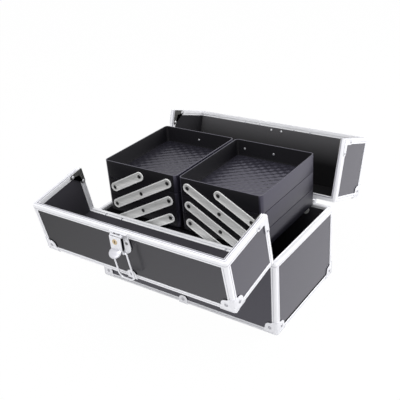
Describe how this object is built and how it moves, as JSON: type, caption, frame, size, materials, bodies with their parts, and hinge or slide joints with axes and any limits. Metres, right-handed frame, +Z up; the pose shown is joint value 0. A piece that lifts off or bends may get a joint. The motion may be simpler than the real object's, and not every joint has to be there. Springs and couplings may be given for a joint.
{
  "type": "makeup train case",
  "caption": "Beauty train case with aluminium edges, front and rear folding lids, cantilever trays on linked arms, lever latch with wire loop and a carrying handle.",
  "frame": {"origin": "middle of the flat underside of the base", "axes": "+X to the right along the width, -Y out of the front, +Z up; both lids stand open, the tray stacks are folded in"},
  "size_m": [0.3692, 0.5145, 0.244],
  "materials": {
    "edge_aluminium": "satin anodised with fine lengthwise grooves",
    "charcoal_board": "charcoal laminate with a fine grain, dark inside",
    "black_lining": "matt black lining",
    "plated_steel": "bright nickel plate",
    "arm_steel": "satin pressed steel",
    "tray_plastic": "black moulded plastic with a diamond texture on the floor",
    "lock_brass": "polished brass",
    "black_metal": "black paint",
    "handle_plastic": "black moulded plastic"
  },
  "bodies": {
    "base": {"base_front_panel": "charcoal_board", "base_rear_panel": "charcoal_board", "base_side_panels": "charcoal_board", "base_floor_panel": "charcoal_board", "base_lining": "black_lining", "base_corner_posts": "edge_aluminium", "base_top_rim": "edge_aluminium", "base_bottom_edges": "edge_aluminium", "base_corner_guards": "plated_steel", "base_rivets": "plated_steel", "base_hinge_leaves": "plated_steel", "hinge_pins": "plated_steel", "base_pivot_studs": "plated_steel"},
    "front_lid": {"front_lid_front_panel": "charcoal_board", "front_lid_top_panel": "charcoal_board", "front_lid_side_panels": "charcoal_board", "front_lid_edge_bars": "edge_aluminium", "front_lid_rims": "edge_aluminium", "front_lid_corner_guards": "plated_steel", "front_lid_corner_brackets": "black_metal", "front_lid_rivets": "plated_steel", "front_lid_hinge_leaves": "plated_steel", "latch_base_plate": "plated_steel", "latch_pin": "plated_steel"},
    "rear_lid": {"rear_lid_rear_panel": "charcoal_board", "rear_lid_top_panel": "charcoal_board", "rear_lid_side_panels": "charcoal_board", "rear_lid_edge_bars": "edge_aluminium", "rear_lid_rims": "edge_aluminium", "rear_lid_corner_guards": "plated_steel", "rear_lid_corner_brackets": "black_metal", "rear_lid_rivets": "plated_steel", "rear_lid_hinge_leaves": "plated_steel", "latch_catch": "plated_steel", "handle_brackets": "plated_steel"},
    "latch_lever": {"latch_lever": "plated_steel"},
    "lock_plug": {"lock_plug": "lock_brass"},
    "latch_loop": {"latch_loop": "plated_steel"},
    "handle": {"handle": "handle_plastic"},
    "left_bottom_tray": {"left_bottom_tray": "tray_plastic", "left_bottom_tray_rivets": "plated_steel"},
    "left_middle_tray": {"left_middle_tray": "tray_plastic", "left_middle_tray_rivets": "plated_steel"},
    "left_top_tray": {"left_top_tray": "tray_plastic", "left_top_tray_rivets": "plated_steel"},
    "left_lower_short_arms": {"left_lower_short_arms": "arm_steel"},
    "left_lower_long_arms": {"left_lower_long_arms": "arm_steel"},
    "left_upper_long_arms": {"left_upper_long_arms": "arm_steel"},
    "left_upper_short_arms": {"left_upper_short_arms": "arm_steel"},
    "right_bottom_tray": {"right_bottom_tray": "tray_plastic", "right_bottom_tray_rivets": "plated_steel"},
    "right_middle_tray": {"right_middle_tray": "tray_plastic", "right_middle_tray_rivets": "plated_steel"},
    "right_top_tray": {"right_top_tray": "tray_plastic", "right_top_tray_rivets": "plated_steel"},
    "right_lower_short_arms": {"right_lower_short_arms": "arm_steel"},
    "right_lower_long_arms": {"right_lower_long_arms": "arm_steel"},
    "right_upper_long_arms": {"right_upper_long_arms": "arm_steel"},
    "right_upper_short_arms": {"right_upper_short_arms": "arm_steel"}
  },
  "joints": [
    {"name": "front_lid_hinge", "type": "hinge", "parent": "base", "child": "front_lid", "pos_m": [0, -0.106, 0.1363], "axis": [1, 0, 0], "range_deg": [-100.5, 0]},
    {"name": "rear_lid_hinge", "type": "hinge", "parent": "base", "child": "rear_lid", "pos_m": [0, 0.106, 0.1363], "axis": [-1, 0, 0], "range_deg": [-109.5, 0]},
    {"name": "latch_lever_hinge", "type": "hinge", "parent": "front_lid", "child": "latch_lever", "pos_m": [0, -0.23882, 0.20708], "axis": [-1, 0, 0], "range_deg": [-4, 100]},
    {"name": "lock_turn", "type": "hinge", "parent": "latch_lever", "child": "lock_plug", "pos_m": [0, -0.23849, 0.19939], "axis": [0, -0.999, -0.0436], "range_deg": [0, 90]},
    {"name": "latch_loop_swing", "type": "hinge", "parent": "latch_lever", "child": "latch_loop", "pos_m": [0, -0.23764, 0.18011], "axis": [-1, 0, 0], "range_deg": [0, 150]},
    {"name": "handle_fold", "type": "hinge", "parent": "rear_lid", "child": "handle", "pos_m": [0, 0.25344, 0.19378], "axis": [1, 0, 0], "range_deg": [-19.5, 80]},
    {"name": "left_trays_spread", "type": "hinge", "parent": "base", "child": "left_lower_short_arms", "pos_m": [-0.0777, 0, 0.1255], "axis": [0, -1, 0], "range_deg": [0, 122.74]},
    {"name": "left_lower_long_swing", "type": "hinge", "parent": "base", "child": "left_lower_long_arms", "pos_m": [-0.1354, 0, 0.1255], "axis": [0, -1, 0], "range_deg": [0, 122.74]},
    {"name": "left_bottom_tray_level", "type": "hinge", "parent": "left_lower_short_arms", "child": "left_bottom_tray", "pos_m": [-0.02, 0, 0.157], "axis": [0, -1, 0], "range_deg": [-122.74, 0]},
    {"name": "left_middle_tray_level", "type": "hinge", "parent": "left_lower_long_arms", "child": "left_middle_tray", "pos_m": [-0.02, 0, 0.1885], "axis": [0, -1, 0], "range_deg": [-122.74, 0]},
    {"name": "left_upper_long_swing", "type": "hinge", "parent": "left_bottom_tray", "child": "left_upper_long_arms", "pos_m": [-0.1354, 0, 0.157], "axis": [0, -1, 0], "range_deg": [0, 122.74]},
    {"name": "left_top_tray_level", "type": "hinge", "parent": "left_upper_long_arms", "child": "left_top_tray", "pos_m": [-0.02, 0, 0.22], "axis": [0, -1, 0], "range_deg": [-122.74, 0]},
    {"name": "left_upper_short_swing", "type": "hinge", "parent": "left_middle_tray", "child": "left_upper_short_arms", "pos_m": [-0.1354, 0, 0.1885], "axis": [0, -1, 0], "range_deg": [0, 122.74]},
    {"name": "right_trays_spread", "type": "hinge", "parent": "base", "child": "right_lower_short_arms", "pos_m": [0.0777, 0, 0.1255], "axis": [0, 1, 0], "range_deg": [0, 122.74]},
    {"name": "right_lower_long_swing", "type": "hinge", "parent": "base", "child": "right_lower_long_arms", "pos_m": [0.1354, 0, 0.1255], "axis": [0, 1, 0], "range_deg": [0, 122.74]},
    {"name": "right_bottom_tray_level", "type": "hinge", "parent": "right_lower_short_arms", "child": "right_bottom_tray", "pos_m": [0.02, 0, 0.157], "axis": [0, 1, 0], "range_deg": [-122.74, 0]},
    {"name": "right_middle_tray_level", "type": "hinge", "parent": "right_lower_long_arms", "child": "right_middle_tray", "pos_m": [0.02, 0, 0.1885], "axis": [0, 1, 0], "range_deg": [-122.74, 0]},
    {"name": "right_upper_long_swing", "type": "hinge", "parent": "right_bottom_tray", "child": "right_upper_long_arms", "pos_m": [0.1354, 0, 0.157], "axis": [0, 1, 0], "range_deg": [0, 122.74]},
    {"name": "right_top_tray_level", "type": "hinge", "parent": "right_upper_long_arms", "child": "right_top_tray", "pos_m": [0.02, 0, 0.22], "axis": [0, 1, 0], "range_deg": [-122.74, 0]},
    {"name": "right_upper_short_swing", "type": "hinge", "parent": "right_middle_tray", "child": "right_upper_short_arms", "pos_m": [0.1354, 0, 0.1885], "axis": [0, 1, 0], "range_deg": [0, 122.74]}
  ],
  "couplings": [
    {"joint": "left_lower_long_swing", "follows": "left_trays_spread", "ratio": 1},
    {"joint": "left_bottom_tray_level", "follows": "left_trays_spread", "ratio": -1},
    {"joint": "left_middle_tray_level", "follows": "left_trays_spread", "ratio": -1},
    {"joint": "left_upper_long_swing", "follows": "left_trays_spread", "ratio": 1},
    {"joint": "left_top_tray_level", "follows": "left_trays_spread", "ratio": -1},
    {"joint": "left_upper_short_swing", "follows": "left_trays_spread", "ratio": 1},
    {"joint": "right_lower_long_swing", "follows": "right_trays_spread", "ratio": 1},
    {"joint": "right_bottom_tray_level", "follows": "right_trays_spread", "ratio": -1},
    {"joint": "right_middle_tray_level", "follows": "right_trays_spread", "ratio": -1},
    {"joint": "right_upper_long_swing", "follows": "right_trays_spread", "ratio": 1},
    {"joint": "right_top_tray_level", "follows": "right_trays_spread", "ratio": -1},
    {"joint": "right_upper_short_swing", "follows": "right_trays_spread", "ratio": 1}
  ]
}
